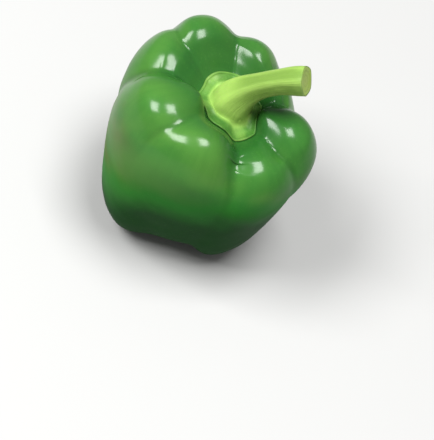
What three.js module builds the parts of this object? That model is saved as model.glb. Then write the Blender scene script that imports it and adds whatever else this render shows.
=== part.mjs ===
// Green bell pepper: a blocky eight-ribbed fruit with its bent stem and calyx.
// Millimetres, +Z up. The fruit stands on the lobes of its blossom end, the stem leans towards +X.

import * as THREE from 'three';
import { mergeVertices } from 'three/addons/utils/BufferGeometryUtils.js';

// Driving dimensions

const HEIGHT = 90;             // blossom end to the mean shoulder
const SIT = 1.3;               // height up to which the feet are flattened where they rest
const LEAN = [-1.5, -1.5];     // how far the blossom end leans to the side
const CAVITY_SHIFT = [2.5, 0.5]; // how far the stem cavity sits off the middle

// Meridian of a lobe from the middle of the blossom end, over the side, to the middle of the
// stem cavity: distance from the axis, height.
const MERIDIAN = [
  [0, 9], [6, 7.4], [11.5, 3], [17, -0.8], [23.5, 0.8], [30, 7.5], [34.5, 18], [38, 32], [41, 47.5],
  [43, 62.5], [42.5, 75], [38, 85.5], [30.5, 90], [23, 88.5], [17.5, 83.5], [13, 79], [7.5, 77], [0, 76.5],
];

// Each lobe: its azimuth in degrees, how far its shoulder reaches out and rises, how far its foot
// reaches out and is lifted, and how far its shoulder crowds the stem.
const LOBES = [
  { azimuth: 40, reach: 0.80, rise: -3, foot: 0.92, lift: 0, crowd: 0 },
  { azimuth: 80, reach: 0.95, rise: 1, foot: 0.95, lift: 0, crowd: 0 },
  { azimuth: 124, reach: 1.08, rise: 4, foot: 1.00, lift: 0, crowd: -1.5 },
  { azimuth: 165, reach: 1.03, rise: 1, foot: 1.05, lift: 0, crowd: -0.5 },
  { azimuth: 218, reach: 1.04, rise: 3.5, foot: 1.14, lift: 0, crowd: 7 },
  { azimuth: 270, reach: 0.99, rise: 1.5, foot: 0.88, lift: 8, crowd: 0 },
  { azimuth: 317, reach: 1.06, rise: -6.5, foot: 1.00, lift: 0, crowd: -0.5 },
  { azimuth: 351, reach: 1.05, rise: -2, foot: 1.02, lift: 0, crowd: 9 },
];
const LOBE_SPREAD = 26;        // degrees over which a lobe passes into the next

// Each crease between two lobes: its azimuth at the foot, the shoulder and in the cavity, its
// depth at the shoulder, the side and the foot, and its width in degrees.
const CREASES = [
  { at: [20, 24, 24], depth: [8.0, 2.6, 5.0], width: 14 },
  { at: [60, 61, 61], depth: [4.5, 0.6, 0.5], width: 13 },
  { at: [104, 100, 103], depth: [7.0, 1.8, 5.0], width: 14 },
  { at: [136, 140, 152], depth: [4.0, 1.0, 0.8], width: 8 },
  { at: [190, 186, 184], depth: [7.3, 3.0, 5.0], width: 14.5 },
  { at: [240, 235, 243], depth: [4.4, 0.8, 1.0], width: 14 },
  { at: [291, 293, 295], depth: [8.4, 1.8, 8.0], width: 13 },
  { at: [360, 337, 331], depth: [6.0, 2.0, 1.0], width: 10 },
];
const CREASE_ROUND = 0.3;      // rounding of a crease's bottom, in crease widths

const CALYX_RADIUS = 14.6;     // measured along the wall of the cavity
const CALYX_SCALLOPS = 6;
const CALYX_THICK = [1.3, 2.8]; // at the rim, at the foot of the stem
const CALYX_GAP = 0.4;         // clear of the fruit
const STEM_FOOT = 8.6;         // radius where the stem leaves the calyx
const STEM_TAPER = 0.6;        // stretch of the stem over which its foot narrows
const STEM_RADIUS = 5.1;
const STEM_END_RADIUS = 5.9;   // at the cut
const STEM_RIBS = 5;
const STEM_LINE = new THREE.CubicBezierCurve3(
  new THREE.Vector3(0, 0, 0), new THREE.Vector3(0, 0, 14),
  new THREE.Vector3(13.4, 0, 27.4), new THREE.Vector3(24, 0, 33),
);

const FRUIT_GRID = { around: 80, along: 74 };
const STEM_GRID = { around: 48, along: 52 };

// Small helpers

const { degToRad: rad, clamp, lerp, smoothstep } = THREE.MathUtils;
const TURN = 2 * Math.PI;
const bump = (x, middle, width) => Math.exp(-(((x - middle) / width) ** 2));
const turnBetween = (a, b) => THREE.MathUtils.euclideanModulo(a - b + Math.PI, TURN) - Math.PI;

// A closed skin: a sphere's grid, its poles at the two ends of the surface.
function skin(surface, { around, along }) {
  const grid = new THREE.SphereGeometry(1, around, along);
  const { position, uv } = grid.attributes;
  const point = new THREE.Vector3();
  for (let i = 0; i < position.count; i += 1) {
    surface(uv.getY(i), uv.getX(i) * TURN, point);
    position.setXYZ(i, point.x, point.y, point.z);
  }
  grid.deleteAttribute('uv');
  grid.deleteAttribute('normal');
  const closed = mergeVertices(grid, 1e-4);
  closed.computeVertexNormals();
  return closed;
}

// Fruit

const meridian = new THREE.SplineCurve(MERIDIAN.map(([r, z]) => new THREE.Vector2(r, z)));
meridian.arcLengthDivisions = 2000;
const MERIDIAN_LENGTH = meridian.getLength();

function lobeShape(azimuth) {
  const shape = { reach: 0, rise: 0, foot: 0, lift: 0, crowd: 0 };
  let total = 0;
  for (const lobe of LOBES) {
    const weight = bump(turnBetween(azimuth, rad(lobe.azimuth)), 0, rad(LOBE_SPREAD));
    total += weight;
    for (const key of Object.keys(shape)) shape[key] += weight * lobe[key];
  }
  for (const key of Object.keys(shape)) shape[key] /= total;
  return shape;
}

function creaseDepth(along, azimuth) {
  const side = smoothstep(along, 0.15, 0.65);
  const inside = smoothstep(along, 0.66, 0.82);
  let depth = 0;
  for (const { at: [foot, shoulder, cavity], depth: [top, middle, low], width } of CREASES) {
    const line = foot + (shoulder - foot) * side + (cavity - shoulder) * inside;
    const across = turnBetween(azimuth, rad(line)) / rad(width);
    const valley = Math.exp(CREASE_ROUND - Math.hypot(across, CREASE_ROUND));
    depth += valley
      * (top * bump(along, 0.76, 0.13) + middle * bump(along, 0.45, 0.22) + low * bump(along, 0.12, 0.12));
  }
  return depth;
}

// along runs from 0 in the middle of the blossom end to 1 in the middle of the stem cavity.
function fruitSurface(along, azimuth, target) {
  const { x: radius, y: height } = meridian.getPointAt(along);
  const tangent = meridian.getTangentAt(clamp(along, 0.001, 0.999));
  const open = smoothstep(radius, 0, 14);
  const shape = lobeShape(azimuth);
  const depth = creaseDepth(along, azimuth) * open;
  let r = radius - tangent.y * depth;
  let z = height + tangent.x * depth;
  r *= lerp(shape.foot, shape.reach, smoothstep(z, 0, HEIGHT));
  r -= shape.crowd * bump(along, 0.85, 0.055) * open;
  z += (shape.rise * bump(along, 0.78, 0.2) + shape.lift * bump(along, 0.14, 0.15)) * open;
  const lean = clamp(1 - z / HEIGHT, 0, 1) ** 1.3;
  const shift = smoothstep(along, 0.72, 1);
  return target.set(
    r * Math.cos(azimuth) + LEAN[0] * lean + CAVITY_SHIFT[0] * shift,
    r * Math.sin(azimuth) + LEAN[1] * lean + CAVITY_SHIFT[1] * shift,
    Math.max(z, SIT),
  );
}

function makeFruit() {
  const material = new THREE.MeshStandardMaterial({ color: 0x4f9240, roughness: 0.22, metalness: 0 });
  const mesh = new THREE.Mesh(skin(fruitSurface, FRUIT_GRID), material);
  mesh.name = 'fruit';
  return mesh;
}

// Stem with its calyx

const UNDER = 0.16;            // stretches of the skin: underside of the calyx,
const RIM = 0.24;              // its rim,
const BRACT = 0.39;            // its upper side,
const BEND = 0.47;             // the bend up into the stem,
const CUT = 0.93;              // the stem up to its cut end

const root = fruitSurface(1, 0, new THREE.Vector3());

// A point of the calyx, a given way from the root along the cavity's wall and lifted off it.
function onCavity(way, azimuth, lift, target) {
  fruitSurface(1 - way / MERIDIAN_LENGTH, azimuth, target);
  const tilt = rad(40) * smoothstep(way, 3, CALYX_RADIUS);
  target.x -= lift * Math.sin(tilt) * Math.cos(azimuth);
  target.y -= lift * Math.sin(tilt) * Math.sin(azimuth);
  target.z += lift * Math.cos(tilt);
  return target;
}

function calyxPoint(along, azimuth, target) {
  const reach = CALYX_RADIUS
    * (1 + 0.03 * Math.cos(CALYX_SCALLOPS * (azimuth - 0.4)) + 0.12 * Math.cos(azimuth + rad(5)));
  const [thin, thick] = CALYX_THICK;
  if (along < UNDER) return onCavity(reach * (along / UNDER), azimuth, CALYX_GAP, target);
  if (along < RIM) {
    const turn = Math.PI * (along - UNDER) / (RIM - UNDER);
    const way = reach + 0.5 * thin * Math.sin(turn);
    return onCavity(way, azimuth, CALYX_GAP + 0.5 * thin * (1 - Math.cos(turn)), target);
  }
  const inward = clamp((along - RIM) / (BEND - RIM), 0, 1);
  const way = lerp(reach, STEM_FOOT, inward);
  return onCavity(way, azimuth, CALYX_GAP + lerp(thin, thick, inward ** 2), target);
}

function stemPoint(along, azimuth, target) {
  const way = clamp((along - BRACT) / (CUT - BRACT), 0, 1);
  const centre = STEM_LINE.getPointAt(way);
  const tangent = STEM_LINE.getTangentAt(way);
  let radius = lerp(STEM_FOOT, STEM_RADIUS, smoothstep(way, 0, STEM_TAPER))
    + (STEM_END_RADIUS - STEM_RADIUS) * smoothstep(way, 0.7, 0.95);
  radius *= 1 + 0.05 * Math.cos(STEM_RIBS * (azimuth - 0.3));
  if (along > CUT) radius *= (1 - along) / (1 - CUT);
  const across = new THREE.Vector3(tangent.z, 0, -tangent.x);
  const sideways = new THREE.Vector3(0, 1, 0);
  return target.copy(root).add(centre)
    .addScaledVector(across, radius * Math.cos(azimuth))
    .addScaledVector(sideways, radius * Math.sin(azimuth));
}

function stemSurface(along, azimuth, target) {
  const calyx = calyxPoint(along, azimuth, new THREE.Vector3());
  const stem = stemPoint(along, azimuth, new THREE.Vector3());
  return target.lerpVectors(calyx, stem, smoothstep(along, BRACT, BEND));
}

function makeStem() {
  const material = new THREE.MeshStandardMaterial({ color: 0x9ccd62, roughness: 0.5, metalness: 0 });
  const mesh = new THREE.Mesh(skin(stemSurface, STEM_GRID), material);
  mesh.name = 'stem_with_calyx';
  return mesh;
}

// The pepper, with its origin at the bottom centre of the box round it

const pepper = new THREE.Group();
pepper.name = 'bell_pepper';
pepper.add(makeFruit(), makeStem());

const box = new THREE.Box3().setFromObject(pepper, true);
const middle = box.getCenter(new THREE.Vector3());
pepper.position.set(-middle.x, -middle.y, -box.min.z);

export default pepper;
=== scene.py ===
# A green bell pepper with its bent stem and scalloped calyx, standing on a plain pale floor.
# The shape is worked out in millimetres, from the same values as the solids, and placed in metres.

from bisect import bisect_right
from functools import lru_cache
from math import atan2, cos, exp, hypot, pi, radians, sin

import bmesh
import bpy
from bpy.props import FloatProperty, FloatVectorProperty, PointerProperty
from mathutils import Matrix, Vector, geometry, noise


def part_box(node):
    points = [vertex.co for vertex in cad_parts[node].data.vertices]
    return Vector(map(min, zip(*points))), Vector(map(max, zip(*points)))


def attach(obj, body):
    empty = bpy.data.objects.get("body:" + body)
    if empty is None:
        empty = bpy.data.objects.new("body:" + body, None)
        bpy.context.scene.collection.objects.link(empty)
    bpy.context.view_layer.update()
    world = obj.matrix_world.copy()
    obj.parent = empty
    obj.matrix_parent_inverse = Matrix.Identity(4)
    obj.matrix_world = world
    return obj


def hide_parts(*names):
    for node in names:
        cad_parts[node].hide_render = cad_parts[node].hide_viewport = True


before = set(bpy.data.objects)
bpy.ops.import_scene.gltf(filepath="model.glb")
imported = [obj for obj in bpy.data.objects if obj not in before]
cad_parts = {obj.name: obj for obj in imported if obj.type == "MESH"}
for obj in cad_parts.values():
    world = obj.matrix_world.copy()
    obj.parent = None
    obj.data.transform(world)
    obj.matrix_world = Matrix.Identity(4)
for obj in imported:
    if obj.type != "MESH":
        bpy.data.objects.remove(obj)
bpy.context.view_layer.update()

bl_info = {
    "name": "Green bell pepper",
    "version": (1, 0, 0),
    "blender": (4, 5, 0),
    "location": "View3D > Sidebar > Pepper",
    "description": "Builds a green bell pepper with its stem and calyx, and a plain studio",
    "category": "Object",
}

MM = 0.001
TURN = 2 * pi

# Fruit, in millimetres and degrees. A way along the fruit runs from 0 in the middle of the
# blossom end to 1 in the middle of the stem cavity.

HEIGHT = 90.0                  # blossom end to the mean shoulder
SIT = 1.3                      # height up to which the feet are flattened where they rest
LEAN = (-1.5, -1.5)            # how far the blossom end leans to the side
LEAN_CURVE = 1.3               # how much of the lean comes near the blossom end
CAVITY_SHIFT = (2.5, 0.5)      # how far the stem cavity sits off the middle
CAVITY_SHIFT_FROM = 0.72       # way along at which that shift begins
ROUND_ENDS = 14                # distance from the axis within which lobes and creases die out

# Meridian of a lobe, from the middle of the blossom end to the middle of the stem cavity:
# distance from the axis, height.
MERIDIAN = [
    (0, 9), (6, 7.4), (11.5, 3), (17, -0.8), (23.5, 0.8), (30, 7.5), (34.5, 18), (38, 32),
    (41, 47.5), (43, 62.5), (42.5, 75), (38, 85.5), (30.5, 90), (23, 88.5), (17.5, 83.5),
    (13, 79), (7.5, 77), (0, 76.5),
]
MERIDIAN_STEPS = 120           # short straight steps between two of its points

# Each lobe: azimuth, reach and rise of its shoulder, reach and lift of its foot, how far its
# shoulder crowds the stem.
LOBES = [
    (40, 0.80, -3, 0.92, 0, 0),
    (80, 0.95, 1, 0.95, 0, 0),
    (124, 1.08, 4, 1.00, 0, -1.5),
    (165, 1.03, 1, 1.05, 0, -0.5),
    (218, 1.04, 3.5, 1.14, 0, 7),
    (270, 0.99, 1.5, 0.88, 8, 0),
    (317, 1.06, -6.5, 1.00, 0, -0.5),
    (351, 1.05, -2, 1.02, 0, 9),
]
LOBE_SPREAD = radians(26)      # over which a lobe passes into the next
CROWD_AT = (0.85, 0.055)       # way along where a lobe crowds the stem, and over what stretch;
RISE_AT = (0.78, 0.2)          # the same for its rise
LIFT_AT = (0.14, 0.15)         # and for the lift of its foot

# Each crease: azimuth at the foot, the shoulder and in the cavity; depth at the shoulder, the side
# and the foot; width.
CREASES = [
    ((20, 24, 24), (8.0, 2.6, 5.0), 14),
    ((60, 61, 61), (4.5, 0.6, 0.5), 13),
    ((104, 100, 103), (7.0, 1.8, 5.0), 14),
    ((136, 140, 152), (4.0, 1.0, 0.8), 8),
    ((190, 186, 184), (7.3, 3.0, 5.0), 14.5),
    ((240, 235, 243), (4.4, 0.8, 1.0), 14),
    ((291, 293, 295), (8.4, 1.8, 8.0), 13),
    ((360, 337, 331), (6.0, 2.0, 1.0), 10),
]
CREASE_ROUND = 0.3             # rounding of a crease's bottom, in crease widths
SIDE_TURN = (0.15, 0.65)       # ways along between which a crease turns from foot to shoulder,
TOP_TURN = (0.66, 0.82)        # and from shoulder to cavity
CREASE_TOP_AT = (0.76, 0.13)   # way along of its depth at the shoulder, and over what stretch;
CREASE_SIDE_AT = (0.45, 0.22)  # the same at the side
CREASE_FOOT_AT = (0.12, 0.12)  # and at the foot
CREASE_DARK = 0.28             # width of the painted shade at its bottom, in crease widths
CREASE_DARK_DEPTH = 5.0        # depth from which that painted shade is full

# Fruit's own waves, left out where it rests and under the calyx
WAVES_FROM = (1 * MM, 9 * MM)  # heights between which they set in
WAVES_UNTIL = (0.84, 0.90)     # ways along between which they fade
WAVE_SCALE, RIPPLE_SCALE = 62, 150
RIPPLE_SHARE = 0.4

# Tones painted on the skin, among them painted shade and painted light, by azimuth in degrees and
# width in radians
LIGHT_SHIFTS = [               # how much further down the skin stays clear of the painted shade, azimuth, width
    (0.14, 215, 0.55), (-0.03, 305, 0.35), (0.10, 100, 1.1),
]
BELLY = (235, 0.65)            # painted light: a paler belly below the shoulders
BELLY_FADE = (0.68, 0.76)      # ways along between which it fades upwards
BLUSH = (208, 0.4)             # olive blush
BLUSH_AT = (0.52, 0.15)        # its way along, and over what stretch
SKIN_GRAIN = 0.4               # stretch of the streaks along the fruit

# Stem and calyx, in millimetres

CALYX_RADIUS = 14.6            # measured along the wall of the cavity
CALYX_SCALLOPS = 6
SCALLOP_DEPTH = 0.03           # share of the calyx's radius
SCALLOP_START = 0.4            # azimuth of a scallop, in radians
CALYX_LEAN = 0.12              # how much further the calyx reaches on one side
CALYX_LEAN_TURN = radians(5)   # how far from +X that side lies
CALYX_TILT = radians(40)       # slope of the cavity's wall under the rim
CALYX_FLAT = 3                 # way from the root within which the wall is level
CALYX_THICK = (0.8, 2.8)       # at the rim (1.3 in the solids), at the foot of the stem
CALYX_GAP = 0.1                # clear of the fruit; the solids keep 0.4
CALYX_RIDGE = 0.45             # height of the ridges that run from the ribs into the calyx
RIDGE_FROM = (0.3, 0.9)        # way inwards over which they rise
CALYX_LIP = 0.2                # height of the raised lip inside the rim
LIP_WIDTH = 0.06               # share of the way inwards
STEM_FOOT = 8.6                # radius where the stem leaves the calyx
STEM_TAPER = 0.6               # stretch of the stem over which its foot narrows
STEM_RADIUS = 5.1
STEM_END_RADIUS = 5.9          # at the cut
STEM_END_FROM = (0.7, 0.95)    # stretch over which it widens towards the cut
STEM_RIBS = 5
RIB_START = 0.3                # azimuth of a rib, in radians
RIB_SHARP = 1.5                # how much narrower a rib is than a groove
RIB_SIZE = 0.08                # share of the stem's radius
RIB_MEAN = 0.42                # mean height of rib and groove, taken off to keep the radius
STEM_LINE = [Vector(p) for p in ((0, 0, 0), (0, 0, 14), (13.4, 0, 27.4), (24, 0, 33))]
STEM_STEPS = 400
CUT_EDGE = 0.7                 # rounding of the cut end's edge
CUT_EDGE_PART = 0.3            # share of the cut end's rows that the edge takes
CUT_HOLLOW = 0.6               # depth of the cut face
STEM_GRAIN = 0.6               # stretch of the fibres along the stem
PALE_SIDE = (150, 0.8)         # where the calyx is a little paler: azimuth, width
PALE_SHARE = 0.15

# Stretches of the stem's skin: the underside of the calyx, its rim, its upper side, the bend up
# into the stem, the stem up to its cut end.
UNDER, RIM, BRACT, BEND, CUT = 0.10, 0.18, 0.36, 0.44, 0.90
LEAF_END = (BRACT - 0.05, BEND + 0.01)   # where the calyx's green gives way to the stem's
RIM_LINE = (0.5 * (UNDER + RIM) + 0.01, 0.02)   # the light rim: its middle and width
CUT_LINE = (CUT + 0.02, CUT + 0.025)     # where skin gives way to the flesh of the cut end

# Columns and rows of the two meshes, and of the fruit among the solids
FRUIT_GRID = (300, 230)
STEM_GRID = (150, 210)
SOLID_GRID = (80, 74)

# Floor, soft boxes and camera, which has the photograph's view

FLOOR_REACH = 6.0              # metres from the middle to the edge
LIT_POINT = Vector((0, 0, 0.06))
LEFT_BOX = ((-0.38, 0.52, 0.77), (0.60, 0.75))   # direction in the picture's axes, size in metres
RIGHT_BOX = ((0.34, 0.50, 0.80), (0.60, 0.70))
RIGHT_BOX_SHARE = 0.95         # of the left one's power
BOX_DISTANCE = 1.6
CAMERA_ELEVATION = radians(50)
CAMERA_ROLL = radians(22)      # clockwise lean of the fruit's axis in the picture
CAMERA_DISTANCE = 800.0
SENSOR = 36.0
CLIP = (0.01, 50.0)
PICTURE = (434, 440)           # the photograph's width and height in pixels
PIXELS_PER_MM = 2.5            # at the top of the fruit's axis
AXIS_TOP_PIXEL = (232, 86)     # where the top of the fruit's axis stands in the photograph


class PepperSettings(bpy.types.PropertyGroup):
    skin_light: FloatVectorProperty(
        name="Light skin", description="Skin where it is palest", subtype="COLOR", size=4,
        default=(0.051, 0.152, 0.023, 1), min=0, max=1)
    skin_mid: FloatVectorProperty(
        name="Green skin", description="Most of the skin", subtype="COLOR", size=4,
        default=(0.028, 0.122, 0.018, 1), min=0, max=1)
    # Deep skin: the skin's own colour in the streaks, painted shade in the cavity and on the lower
    # half
    skin_deep_and_shade: FloatVectorProperty(
        name="Deep skin", description="Skin in the cavity, the streaks and towards the blossom end",
        subtype="COLOR", size=4, default=(0.008, 0.062, 0.010, 1), min=0, max=1)
    # Painted shade: the cool green of the lower half, below the belly of the lobes
    skin_painted_shade: FloatVectorProperty(
        name="Cool skin", description="Skin below the belly of the lobes", subtype="COLOR", size=4,
        default=(0.013, 0.150, 0.015, 1), min=0, max=1)
    # Painted shade at the bottom of the creases
    crease_shade_tone: FloatVectorProperty(
        name="Creases", description="Skin at the bottom of the creases", subtype="COLOR", size=4,
        default=(0.006, 0.042, 0.006, 1), min=0, max=1)
    blush_tone: FloatVectorProperty(
        name="Blush", description="Olive blush on the side that ripens first", subtype="COLOR",
        size=4, default=(0.074, 0.098, 0.018, 1), min=0, max=1)
    waviness: FloatProperty(
        name="Waviness", description="Height of the skin's gentle waves", default=0.22 * MM,
        unit="LENGTH", min=0)
    wax: FloatProperty(
        name="Wax", description="Strength of the clear waxy gloss", default=0.75, min=0, max=1,
        subtype="FACTOR")


class StemSettings(bpy.types.PropertyGroup):
    stem_pale: FloatVectorProperty(
        name="Pale stem", description="Stem on its ribs", subtype="COLOR", size=4,
        default=(0.20, 0.32, 0.065, 1), min=0, max=1)
    stem_green: FloatVectorProperty(
        name="Green stem", description="Stem in its grooves", subtype="COLOR", size=4,
        default=(0.13, 0.23, 0.038, 1), min=0, max=1)
    calyx_green: FloatVectorProperty(
        name="Calyx", description="Upper side of the calyx", subtype="COLOR", size=4,
        default=(0.038, 0.120, 0.018, 1), min=0, max=1)
    cut_tone: FloatVectorProperty(
        name="Cut end", description="Flesh of the cut end", subtype="COLOR", size=4,
        default=(0.24, 0.34, 0.06, 1), min=0, max=1)


class StageSettings(bpy.types.PropertyGroup):
    box_power: FloatProperty(
        name="Soft boxes", default=36.0, unit="POWER", min=0,
        description="Power of the left soft box; the right one has a little less")
    dome: FloatProperty(
        name="Dome", description="Brightness of the pale surroundings", default=0.33, min=0)


# Shader maths

class Value:
    """A socket that takes part in Python sums; each sum adds its Math node."""

    def __init__(self, shader, socket):
        self.shader, self.socket = shader, socket

    def sum(self, operation, *terms):
        return self.shader.node("ShaderNodeMath", {"operation": operation},
                                dict(enumerate(terms))).out(0)

    def __add__(self, other):
        return self.sum("ADD", self, other)

    __radd__ = __add__

    def __mul__(self, other):
        return self.sum("MULTIPLY", self, other)

    __rmul__ = __mul__

    def __sub__(self, other):
        return self.sum("SUBTRACT", self, other)

    def __rsub__(self, other):
        return self.sum("SUBTRACT", other, self)


class Node:
    """A node whose outputs are picked by name or number."""

    def __init__(self, shader, node):
        self.shader, self.node = shader, node

    def out(self, key):
        return Value(self.shader, self.node.outputs[key])


class Shader:
    """A material built from Python expressions."""

    def __init__(self, name):
        self.material = bpy.data.materials.new(name)
        self.material.use_nodes = True
        self.tree = self.material.node_tree
        self.tree.nodes.clear()

    def node(self, kind, settings=None, sockets=None):
        """Adds a node: its settings first, then the values or links of its sockets."""
        node = self.tree.nodes.new(kind)
        for key, value in (settings or {}).items():
            setattr(node, key, value)
        for key, value in (sockets or {}).items():
            if isinstance(value, Value):
                self.tree.links.new(value.socket, node.inputs[key])
            else:
                node.inputs[key].default_value = value
        return Node(self, node)

    def attribute(self, name, output="Fac"):
        return self.node("ShaderNodeAttribute", {"attribute_name": name}).out(output)

    def noise(self, place, scale, detail=2.0, roughness=0.5, distortion=0.0):
        return self.node("ShaderNodeTexNoise", {}, {
            "Vector": place, "Scale": scale, "Detail": detail, "Roughness": roughness,
            "Distortion": distortion}).out("Fac")

    def spread(self, value, low, high, start=0.0, end=1.0):
        """Maps low..high smoothly onto start..end."""
        return self.node("ShaderNodeMapRange", {"interpolation_type": "SMOOTHSTEP"}, {
            "Value": value, "From Min": low, "From Max": high,
            "To Min": start, "To Max": end}).out(0)

    def mix(self, factor, first, second):
        return self.node("ShaderNodeMix", {"data_type": "RGBA"},
                         {0: factor, 6: first, 7: second}).out(2)

    def bump(self, height):
        return self.node("ShaderNodeBump", {}, {
            "Strength": 1.0, "Distance": 1.0, "Height": height}).out("Normal")

    def finish(self, sockets):
        surface = self.node("ShaderNodeBsdfPrincipled", {}, sockets).out("BSDF")
        self.node("ShaderNodeOutputMaterial", {}, {"Surface": surface})
        return self.material


def tone(settings_colour, factor=1.0):
    """A colour from the settings, made lighter or darker."""
    return tuple(min(c * factor, 1.0) for c in settings_colour[:3]) + (1.0,)


# Materials: how fine each pattern is, per metre, or per unit of the grain for streaks and fibres

PATCH_SCALE, STREAK_SCALE, BLUSH_SCALE, EDGE_SCALE = 30, 15, 55, 32
SWELL_SCALE, PORE_SCALE, PEEL_SCALE = 95, 620.0, 900
FIBRE_SCALE, BLOTCH_SCALE, SPOT_SCALE, BUNDLE_SCALE, FUZZ_SCALE = 16, 150, 105, 900, 1400
RINGS = 26.0                   # radians of rings from the cut end's middle to its edge
FLOOR_SCALE = 3.0

# Heights of the relief
SWELL_HEIGHT, PORE_DEPTH, PEEL_HEIGHT = 0.08 * MM, 0.003 * MM, 0.002 * MM
FIBRE_HEIGHT, BLOTCH_HEIGHT, FUZZ_HEIGHT = 0.22 * MM, 0.14 * MM, 0.02 * MM

# Ways along the fruit between which the painted shade of the lower half and of the cavity, the
# gloss and the scar set in
PAINTED_SHADE_FROM = (0.73, 0.64)
DARKER_FROM = (0.66, 0.50)
CAVITY_FROM = (0.74, 0.86)
GLOSS_FROM = (0.54, 0.73)
SCAR_FROM = (0.030, 0.012)
EDGE_WANDER = 0.16             # how far the edge of the painted shade on the lower half wanders

# Tones that the settings don't hold
SCAR_TONE = (0.17, 0.12, 0.045, 1.0)
BUNDLE_TONE = (0.14, 0.17, 0.035, 1.0)
PITH_TONE = (0.30, 0.36, 0.10, 1.0)
FLOOR_TONES = ((0.37, 0.37, 0.365, 1), (0.385, 0.385, 0.38, 1))


def waxy_skin(settings):
    """Waxy green skin: soft patches, faint streaks along the lobes, painted shade in the creases,
    the cavity and the lower half, painted light below the shoulders, pale pores.
    """
    s = Shader("waxy green skin")
    place = s.node("ShaderNodeTexCoord").out("Object")
    grain = s.attribute("grain", "Vector")
    valley = s.attribute("valley")
    along = s.attribute("along")
    low = s.attribute("low")

    patches = s.spread(s.noise(place, PATCH_SCALE, detail=2.5, distortion=0.8), 0.34, 0.62)
    base = s.mix(patches, tone(settings.skin_light), tone(settings.skin_mid))
    streaks = s.noise(grain, STREAK_SCALE, detail=3.0, roughness=0.55)
    base = s.mix(s.spread(streaks, 0.42, 0.75, 0.0, 0.12), base, tone(settings.skin_deep_and_shade))
    blush = s.attribute("blush") * s.spread(s.noise(place, BLUSH_SCALE, detail=3.0), 0.35, 0.65)
    base = s.mix(blush, base, tone(settings.blush_tone))
    # Painted light on the belly below the shoulders, on the front-left
    base = s.mix(s.attribute("belly") * 0.45, base, tone(settings.skin_light, 1.3))

    # Lower half: painted shade, first in a cool green, then in a deep green
    edge = low + s.noise(place, EDGE_SCALE, detail=3.0, distortion=0.6) * EDGE_WANDER
    painted_shade = s.spread(edge, *PAINTED_SHADE_FROM, 0.0, 0.8)
    base = s.mix(painted_shade, base, tone(settings.skin_painted_shade))
    darker = s.spread(edge, *DARKER_FROM, 0.0, 0.95)
    base = s.mix(darker, base, tone(settings.skin_deep_and_shade, 0.65))

    # Painted shade at the bottom of the creases
    crease = s.spread(valley, 0.2, 1.0, 0.0, 0.35)
    base = s.mix(crease, base, tone(settings.crease_shade_tone))
    # Painted shade in the stem cavity, darker towards the calyx
    cavity = s.spread(along, *CAVITY_FROM)
    base = s.mix(cavity * 0.68, base, tone(settings.skin_deep_and_shade))

    pores = s.node("ShaderNodeTexVoronoi", {}, {"Vector": place, "Scale": PORE_SCALE})
    pore = s.spread(pores.out("Distance"), 0.10, 0.26, 1.0, 0.0)
    base = s.mix(pore * 0.10, base, tone(settings.skin_light, 1.5))

    # Brown scar in the middle of the blossom end
    scar = s.spread(along, *SCAR_FROM)
    base = s.mix(scar, base, SCAR_TONE)

    swells = s.noise(place, SWELL_SCALE, detail=2.0) * SWELL_HEIGHT
    peel = s.noise(place, PEEL_SCALE, detail=1.0) * PEEL_HEIGHT
    relief = swells + peel - pore * PORE_DEPTH
    gloss = s.spread((along + low) * 0.5, *GLOSS_FROM, 0.03, 1.0)
    return s.finish({
        "Base Color": base,
        "Roughness": s.spread(patches, 0.0, 1.0, 0.45, 0.5),
        "Specular IOR Level": 0.02,
        "Specular Tint": (0.5, 1.0, 0.4, 1.0),
        "Subsurface Weight": 0.06,
        "Subsurface Radius": (0.35, 1.0, 0.25),
        "Subsurface Scale": 2.5 * MM,
        "Coat Weight": gloss * (1.0 - scar) * settings.wax,
        "Coat Roughness": 0.19,
        "Coat IOR": 1.38,
        "Normal": s.bump(relief),
    })


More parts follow.
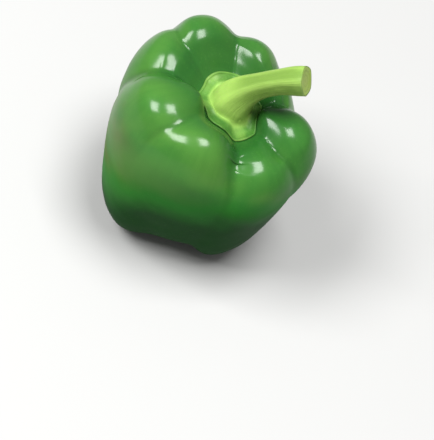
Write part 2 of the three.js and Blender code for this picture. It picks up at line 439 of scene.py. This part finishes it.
def stem_tissue(settings):
    """Pale ribbed stem, paler at its foot partly by painted light, greener calyx with a light rim,
    and a cut end with rings.
    """
    s = Shader("stem and calyx")
    place = s.node("ShaderNodeTexCoord").out("Object")
    grain = s.attribute("grain", "Vector")
    rib = s.attribute("rib")
    leaf = s.attribute("leaf")
    rim = s.attribute("rim")
    cut = s.attribute("cut")
    way = s.attribute("way")

    fibres = s.noise(grain, FIBRE_SCALE, detail=4.0, roughness=0.65)
    blotches = s.noise(place, BLOTCH_SCALE, detail=3.0)
    base = s.mix(s.spread(rib, 0.1, 0.9), tone(settings.stem_green), tone(settings.stem_pale))
    base = s.mix(s.spread(fibres, 0.4, 0.7, 0.0, 0.6), base, tone(settings.stem_green, 0.9))
    base = s.mix(s.spread(blotches, 0.5, 0.75, 0.0, 0.45), base, tone(settings.stem_pale, 1.15))
    # Paler towards the foot of the stem: partly the stem's own paler foot, partly painted light on
    # a flank that lies in shade
    palest = s.spread(way, 0.50, 0.12, 0.0, 0.9)
    base = s.mix(palest, base, tone(settings.stem_pale, 1.55))

    mottled = s.spread(blotches, 0.35, 0.7)
    calyx = s.mix(mottled, tone(settings.calyx_green), tone(settings.calyx_green, 1.3))
    calyx = s.mix(s.spread(rib, 0.5, 1.0, 0.0, 0.15), calyx, tone(settings.stem_pale, 0.7))
    spots = s.noise(place, SPOT_SCALE, detail=2.0)
    base = s.mix(leaf * s.spread(spots, 0.45, 0.62, 1.0, 0.82), base, calyx)
    base = s.mix(rim * s.spread(spots, 0.35, 0.65, 0.1, 0.35), base, tone(settings.stem_pale, 0.55))

    rings = s.node("ShaderNodeMath", {"operation": "SINE"}, {0: cut * RINGS}).out(0)
    bundle = s.spread(rings * s.noise(place, BUNDLE_SCALE), 0.05, 0.5)
    flesh = s.mix(bundle * 0.45, tone(settings.cut_tone), BUNDLE_TONE)
    flesh = s.mix(s.spread(cut, 0.05, 0.45, 0.5, 0.0), flesh, PITH_TONE)
    base = s.mix(s.spread(cut, 0.0, 0.02), base, flesh)

    fuzz = s.noise(place, FUZZ_SCALE) * FUZZ_HEIGHT
    relief = fibres * FIBRE_HEIGHT + blotches * BLOTCH_HEIGHT + fuzz
    return s.finish({
        "Base Color": base,
        "Roughness": s.spread(blotches, 0.3, 0.7, 0.42, 0.58),
        "Specular IOR Level": 0.22,
        "Specular Tint": (0.7, 1.0, 0.5, 1.0),
        "Subsurface Weight": 0.12,
        "Subsurface Radius": (0.6, 1.0, 0.3),
        "Subsurface Scale": 2.0 * MM,
        "Coat Weight": 0.08,
        "Coat Roughness": 0.25,
        "Normal": s.bump(relief),
    })


def matt_floor():
    s = Shader("pale floor")
    place = s.node("ShaderNodeTexCoord").out("Object")
    shade = s.mix(s.noise(place, FLOOR_SCALE), *FLOOR_TONES)
    return s.finish({"Base Color": shade, "Roughness": 0.8, "Specular IOR Level": 0.2})


# Shape

def bump(x, middle, width):
    return exp(-(((x - middle) / width) ** 2))


def smoothstep(x, low, high):
    t = min(max((x - low) / (high - low), 0.0), 1.0)
    return t * t * (3 - 2 * t)


def lerp(a, b, t):
    return a + (b - a) * t


def turn_between(a, b):
    return (a - b + pi) % TURN - pi


def near(azimuth, degrees, width):
    """1 at an azimuth given in degrees, less the further away from it."""
    return bump(turn_between(azimuth, radians(degrees)), 0, width)


class Curve:
    """A curve measured by the way along it, from 0 to 1."""

    def __init__(self, points):
        self.points, self.ways = [points[0]], [0.0]
        for point in points[1:]:
            self.ways.append(self.ways[-1] + (point - self.points[-1]).length)
            self.points.append(point)
        self.length = self.ways[-1]

    def at(self, along):
        """The point at a way along the curve, and the direction of the curve there."""
        way = min(max(along, 0.0), 1.0) * self.length
        i = min(bisect_right(self.ways, way), len(self.ways) - 1)
        start, end = self.points[i - 1], self.points[i]
        part = (way - self.ways[i - 1]) / (self.ways[i] - self.ways[i - 1])
        return start.lerp(end, part), (end - start).normalized()


def through(points, steps):
    """A smooth line through the points, as a Catmull-Rom curve runs."""
    points = [Vector(p).to_3d() for p in points]
    ends = [points[0], *points, points[-1]]
    line = [points[0]]
    for before, start, end, after in zip(ends, ends[1:], ends[2:], ends[3:]):
        line += geometry.interpolate_bezier(
            start, start + (end - before) / 6, end - (after - start) / 6, end, steps)[1:]
    return line


MERIDIAN_CURVE = Curve(through(MERIDIAN, MERIDIAN_STEPS))
STEM_CURVE = Curve(geometry.interpolate_bezier(*STEM_LINE, STEM_STEPS))


@lru_cache(maxsize=None)
def lobe_shape(azimuth):
    """Reach and rise of the shoulder, reach and lift of the foot, and crowding at an azimuth."""
    total, shape = 0.0, [0.0] * 5
    for middle, *values in LOBES:
        weight = near(azimuth, middle, LOBE_SPREAD)
        total += weight
        shape = [value + weight * more for value, more in zip(shape, values)]
    return [value / total for value in shape]


def crease_depth(along, azimuth):
    """Depth of the creases, and how near the bottom of one the point is, which sets their painted
    shade.
    """
    side = smoothstep(along, *SIDE_TURN)
    inside = smoothstep(along, *TOP_TURN)
    at_top, at_side, at_foot = (
        bump(along, *place) for place in (CREASE_TOP_AT, CREASE_SIDE_AT, CREASE_FOOT_AT))
    depth = bottom = 0.0
    for (foot, shoulder, cavity), (top, middle, low), width in CREASES:
        line = foot + (shoulder - foot) * side + (cavity - shoulder) * inside
        across = turn_between(azimuth, radians(line)) / radians(width)
        valley = exp(CREASE_ROUND - hypot(across, CREASE_ROUND))
        deep = top * at_top + middle * at_side + low * at_foot
        depth += valley * deep
        bottom = max(bottom, bump(across, 0, CREASE_DARK) * min(deep / CREASE_DARK_DEPTH, 1.0))
    return depth, bottom


def fruit_point(along, azimuth):
    """A point of the fruit, and how near the bottom of a crease it is."""
    point, way = MERIDIAN_CURVE.at(along)
    radius, height = point.x, point.y
    opening = smoothstep(radius, 0, ROUND_ENDS)
    reach, rise, foot, lift, crowd = lobe_shape(azimuth)
    depth, bottom = crease_depth(along, azimuth)
    depth *= opening
    r = radius - way.y * depth
    z = height + way.x * depth
    r *= lerp(foot, reach, smoothstep(z, 0, HEIGHT))
    r -= crowd * bump(along, *CROWD_AT) * opening
    z += (rise * bump(along, *RISE_AT) + lift * bump(along, *LIFT_AT)) * opening
    lean = min(max(1 - z / HEIGHT, 0), 1) ** LEAN_CURVE
    shift = smoothstep(along, CAVITY_SHIFT_FROM, 1)
    return Vector((
        r * cos(azimuth) + LEAN[0] * lean + CAVITY_SHIFT[0] * shift,
        r * sin(azimuth) + LEAN[1] * lean + CAVITY_SHIFT[1] * shift,
        max(z, SIT),
    )), bottom * opening


ROOT = fruit_point(1, 0)[0]


def place_in_frame():
    """The move, in millimetres, that takes the worked-out fruit to the fruit of the solids."""
    around, rows = SOLID_GRID
    corners = [fruit_point(row / rows, TURN * column / around)[0]
               for row in range(rows + 1) for column in range(around)]
    low, high = (Vector([pick(c[i] for c in corners) for i in range(3)]) for pick in (min, max))
    cad_low, cad_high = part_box("fruit")
    move = (cad_low + cad_high) / (2 * MM) - (low + high) / 2
    move.z = cad_low.z / MM - low.z
    return move


MOVE = place_in_frame()


def calyx_reach(azimuth):
    return CALYX_RADIUS * (
        1 + SCALLOP_DEPTH * cos(CALYX_SCALLOPS * (azimuth - SCALLOP_START))
        + CALYX_LEAN * cos(azimuth + CALYX_LEAN_TURN))


def on_cavity(way, azimuth, lift):
    """A point of the calyx, a given way from the root along the cavity's wall and lifted off it."""
    point = fruit_point(1 - way / MERIDIAN_CURVE.length, azimuth)[0]
    tilt = CALYX_TILT * smoothstep(way, CALYX_FLAT, CALYX_RADIUS)
    return point + lift * Vector((-sin(tilt) * cos(azimuth), -sin(tilt) * sin(azimuth), cos(tilt)))


def rib_height(azimuth):
    return 0.5 + 0.5 * cos(STEM_RIBS * (azimuth - RIB_START))


def calyx_point(along, azimuth):
    reach = calyx_reach(azimuth)
    thin, thick = CALYX_THICK
    if along < UNDER:
        return on_cavity(reach * along / UNDER, azimuth, CALYX_GAP)
    if along < RIM:
        turn = pi * (along - UNDER) / (RIM - UNDER)
        lift = CALYX_GAP + 0.5 * thin * (1 - cos(turn))
        return on_cavity(reach + 0.5 * thin * sin(turn), azimuth, lift)
    inward = min((along - RIM) / (BEND - RIM), 1.0)
    ridge = CALYX_RIDGE * rib_height(azimuth) ** 2 * smoothstep(inward, *RIDGE_FROM)
    lip = CALYX_LIP * bump(inward, 0.0, LIP_WIDTH)
    lift = CALYX_GAP + lerp(thin, thick, inward ** 2) + ridge + lip
    return on_cavity(lerp(reach, STEM_FOOT, inward), azimuth, lift)


def cut_end(part, radius):
    """Radius and height of the cut end: a rounded edge, then a slightly hollow face."""
    if part < CUT_EDGE_PART:
        turn = 0.5 * pi * part / CUT_EDGE_PART
        return radius - CUT_EDGE * (1 - cos(turn)), CUT_EDGE * (sin(turn) - 1)
    flat = radius - CUT_EDGE
    r = flat * (1 - (part - CUT_EDGE_PART) / (1 - CUT_EDGE_PART))
    return r, -CUT_HOLLOW * (1 - (r / flat) ** 2)


def stem_point(along, azimuth):
    way = min(max((along - BRACT) / (CUT - BRACT), 0.0), 1.0)
    centre, tangent = STEM_CURVE.at(way)
    radius = (lerp(STEM_FOOT, STEM_RADIUS, smoothstep(way, 0, STEM_TAPER))
              + (STEM_END_RADIUS - STEM_RADIUS) * smoothstep(way, *STEM_END_FROM))
    radius *= 1 + RIB_SIZE * (rib_height(azimuth) ** RIB_SHARP - RIB_MEAN)
    out = 0.0
    if along > CUT:
        radius, out = cut_end((along - CUT) / (1 - CUT), radius)
    across = Vector((tangent.z, 0, -tangent.x))
    sideways = Vector((0, 1, 0))
    return (ROOT + centre + out * tangent
            + radius * cos(azimuth) * across + radius * sin(azimuth) * sideways)


def stem_surface(along, azimuth):
    """A point of the stem with its calyx, from the root under it at 0 to the cut's middle at 1."""
    stem = stem_point(along, azimuth)
    if along >= BEND:
        return stem
    return calyx_point(along, azimuth).lerp(stem, smoothstep(along, BRACT, BEND))


# Meshes

def grid_ball(around, rows):
    """A ball whose rows and columns become the ways along and round a piece."""
    ball = bmesh.new()
    bmesh.ops.create_uvsphere(ball, u_segments=around, v_segments=rows, radius=1.0)
    return ball


def lies(ball, around, rows):
    """Each vertex of the ball, with its row's way along and its column's azimuth."""
    for vertex in ball.verts:
        x, y, z = vertex.co
        row = round(rows * (1 - atan2(hypot(x, y), z) / pi))
        column = round(around * atan2(y, x) / TURN) % around if 0 < row < rows else 0
        yield vertex, row / rows, TURN * column / around


def finished(name, ball, material, node):
    """Turns the mesh into a piece that stands for a node of the solids."""
    for face in ball.faces:
        face.smooth = True
    mesh = bpy.data.meshes.new(name)
    ball.to_mesh(mesh)
    ball.free()
    mesh.materials.append(material)
    piece = bpy.data.objects.new(name, mesh)
    bpy.context.scene.collection.objects.link(piece)
    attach(piece, "root")
    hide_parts(node)


def shape_fruit(waviness):
    ball = grid_ball(*FRUIT_GRID)
    marks = ball.verts.layers
    grain = marks.float_vector.new("grain")
    valley, way, low, belly, blush = (
        marks.float.new(name) for name in ("valley", "along", "low", "belly", "blush"))
    for vertex, along, azimuth in lies(ball, *FRUIT_GRID):
        point, bottom = fruit_point(along, azimuth)
        vertex.co = (point + MOVE) * MM
        vertex[grain] = (cos(azimuth), sin(azimuth), SKIN_GRAIN * along)
        # valley: how much painted shade the bottom of a crease gets
        vertex[valley], vertex[way] = bottom, along
        # low: where the painted shade of the lower half begins, moved by azimuth
        lighter = sum(shift * near(azimuth, *where) for shift, *where in LIGHT_SHIFTS)
        vertex[low] = along + lighter
        # belly: painted light below the shoulders
        vertex[belly] = (1 - smoothstep(vertex[low], *BELLY_FADE)) * near(azimuth, *BELLY)
        vertex[blush] = near(azimuth, *BLUSH) * bump(along, *BLUSH_AT)
    ball.normal_update()
    moves = []
    for vertex in ball.verts:
        clear = smoothstep(vertex.co.z, *WAVES_FROM) * (1 - smoothstep(vertex[way], *WAVES_UNTIL))
        wave = (noise.noise(vertex.co * WAVE_SCALE)
                + RIPPLE_SHARE * noise.noise(vertex.co * RIPPLE_SCALE))
        moves.append(vertex.normal * (waviness * clear * wave))
    for vertex, move in zip(ball.verts, moves):
        vertex.co += move
    return ball


def shape_stem():
    ball = grid_ball(*STEM_GRID)
    marks = ball.verts.layers
    grain = marks.float_vector.new("grain")
    rib, leaf, rim, cut, way = (
        marks.float.new(name) for name in ("rib", "leaf", "rim", "cut", "way"))
    for vertex, along, azimuth in lies(ball, *STEM_GRID):
        vertex.co = (stem_surface(along, azimuth) + MOVE) * MM
        vertex[grain] = (cos(azimuth), sin(azimuth), STEM_GRAIN * along)
        vertex[rib] = rib_height(azimuth) ** RIB_SHARP
        pale = PALE_SHARE * near(azimuth, *PALE_SIDE)
        vertex[leaf] = (1 - smoothstep(along, *LEAF_END)) * (1 - pale)
        vertex[way] = (along - BRACT) / (CUT - BRACT)
        vertex[rim] = bump(along, *RIM_LINE)
        vertex[cut] = smoothstep(along, *CUT_LINE) * (1 - along) / (1 - CUT)
    return ball


# Operators

class PEPPER_OT_fruit(bpy.types.Operator):
    """Build the fruit with its lobes, creases and waxy skin"""

    bl_idname = "pepper.fruit"
    bl_label = "Fruit"

    def execute(self, context):
        settings = context.scene.pepper
        finished("pepper_fruit", shape_fruit(settings.waviness), waxy_skin(settings),
                 "fruit")
        return {"FINISHED"}


class PEPPER_OT_stem(bpy.types.Operator):
    """Build the bent stem with its calyx"""

    bl_idname = "pepper.stem"
    bl_label = "Stem and calyx"

    def execute(self, context):
        material = stem_tissue(context.scene.pepper_stem)
        finished("pepper_stem", shape_stem(), material, "stem_with_calyx")
        return {"FINISHED"}


def camera_axes():
    """The picture's right and up and the way back to the camera, in the part's frame."""
    level_right = Vector((1, 0, 0))
    level_up = Vector((0, sin(CAMERA_ELEVATION), cos(CAMERA_ELEVATION)))
    back = Vector((0, -cos(CAMERA_ELEVATION), sin(CAMERA_ELEVATION)))
    right = cos(CAMERA_ROLL) * level_right + sin(CAMERA_ROLL) * level_up
    up = -sin(CAMERA_ROLL) * level_right + cos(CAMERA_ROLL) * level_up
    return right, up, back


def pointing(place, target, up):
    """The matrix of a camera or lamp at a place that looks at a target."""
    back = (place - target).normalized()
    right = up.cross(back).normalized()
    turned = Matrix((right, back.cross(right), back)).transposed().to_4x4()
    return Matrix.Translation(place) @ turned


def add_lamp(name, direction, size, power):
    """A soft box, placed by its direction in the picture's axes from the middle of the fruit."""
    right, up, back = camera_axes()
    way = (direction[0] * right + direction[1] * up + direction[2] * back).normalized()
    light = bpy.data.lights.new(name, "AREA")
    light.shape, light.size, light.size_y = "RECTANGLE", *size
    light.energy = power
    lamp = bpy.data.objects.new(name, light)
    lamp.matrix_world = pointing(LIT_POINT + way * BOX_DISTANCE, LIT_POINT, up)
    bpy.context.scene.collection.objects.link(lamp)


def add_floor():
    ground = bmesh.new()
    bmesh.ops.create_grid(ground, x_segments=4, y_segments=4, size=FLOOR_REACH)
    mesh = bpy.data.meshes.new("floor")
    ground.to_mesh(mesh)
    ground.free()
    mesh.materials.append(matt_floor())
    floor = bpy.data.objects.new("floor", mesh)
    bpy.context.scene.collection.objects.link(floor)


def add_camera():
    """A camera that shows the fruit where, and as large as, the photograph does."""
    right, up, back = camera_axes()
    axis_top = (Vector((0, 0, HEIGHT)) + MOVE) * MM
    off = [(PICTURE[i] / 2 - AXIS_TOP_PIXEL[i]) / PIXELS_PER_MM * MM for i in (0, 1)]
    place = axis_top + back * CAMERA_DISTANCE * MM
    aim = axis_top + right * off[0] - up * off[1]
    lens = bpy.data.cameras.new("camera")
    lens.sensor_fit = "HORIZONTAL"
    lens.sensor_width = SENSOR
    lens.lens = SENSOR * CAMERA_DISTANCE * PIXELS_PER_MM / PICTURE[0]
    lens.clip_start, lens.clip_end = CLIP
    camera = bpy.data.objects.new("camera", lens)
    camera.matrix_world = pointing(place, aim, up)
    bpy.context.scene.collection.objects.link(camera)
    bpy.context.scene.camera = camera


class PEPPER_OT_stage(bpy.types.Operator):
    """Set up the pale floor, the soft light and the camera"""

    bl_idname = "pepper.stage"
    bl_label = "Stage"

    def execute(self, context):
        scene, settings = context.scene, context.scene.pepper_stage
        add_floor()

        world = bpy.data.worlds.new("pale surroundings")
        world.use_nodes = True
        sky = world.node_tree.nodes["Background"]
        sky.inputs["Color"].default_value = (1, 1, 1, 1)
        sky.inputs["Strength"].default_value = settings.dome
        scene.world = world
        scene.view_settings.view_transform = "Standard"

        add_lamp("left_box", *LEFT_BOX, settings.box_power)
        add_lamp("right_box", *RIGHT_BOX, settings.box_power * RIGHT_BOX_SHARE)
        add_camera()
        return {"FINISHED"}


class PEPPER_PT_panel(bpy.types.Panel):
    bl_idname = "PEPPER_PT_panel"
    bl_label = "Bell pepper"
    bl_space_type = "VIEW_3D"
    bl_region_type = "UI"
    bl_category = "Pepper"

    def draw(self, context):
        for settings, operator in PARTS:
            box = self.layout.box()
            group = getattr(context.scene, settings)
            for name in group.bl_rna.properties.keys():
                if name not in {"name", "rna_type"}:
                    box.prop(group, name)
            box.operator(operator)


SETTINGS = {"pepper": PepperSettings, "pepper_stem": StemSettings, "pepper_stage": StageSettings}
PARTS = [
    ("pepper", "pepper.fruit"), ("pepper_stem", "pepper.stem"), ("pepper_stage", "pepper.stage"),
]
CLASSES = (*SETTINGS.values(), PEPPER_OT_fruit, PEPPER_OT_stem, PEPPER_OT_stage, PEPPER_PT_panel)


def register():
    for cls in CLASSES:
        bpy.utils.register_class(cls)
    for name, cls in SETTINGS.items():
        setattr(bpy.types.Scene, name, PointerProperty(type=cls))


def unregister():
    for name in SETTINGS:
        delattr(bpy.types.Scene, name)
    for cls in reversed(CLASSES):
        bpy.utils.unregister_class(cls)


def main():
    register()
    bpy.ops.pepper.fruit()
    bpy.ops.pepper.stem()
    bpy.ops.pepper.stage()


if __name__ == "__main__":
    main()
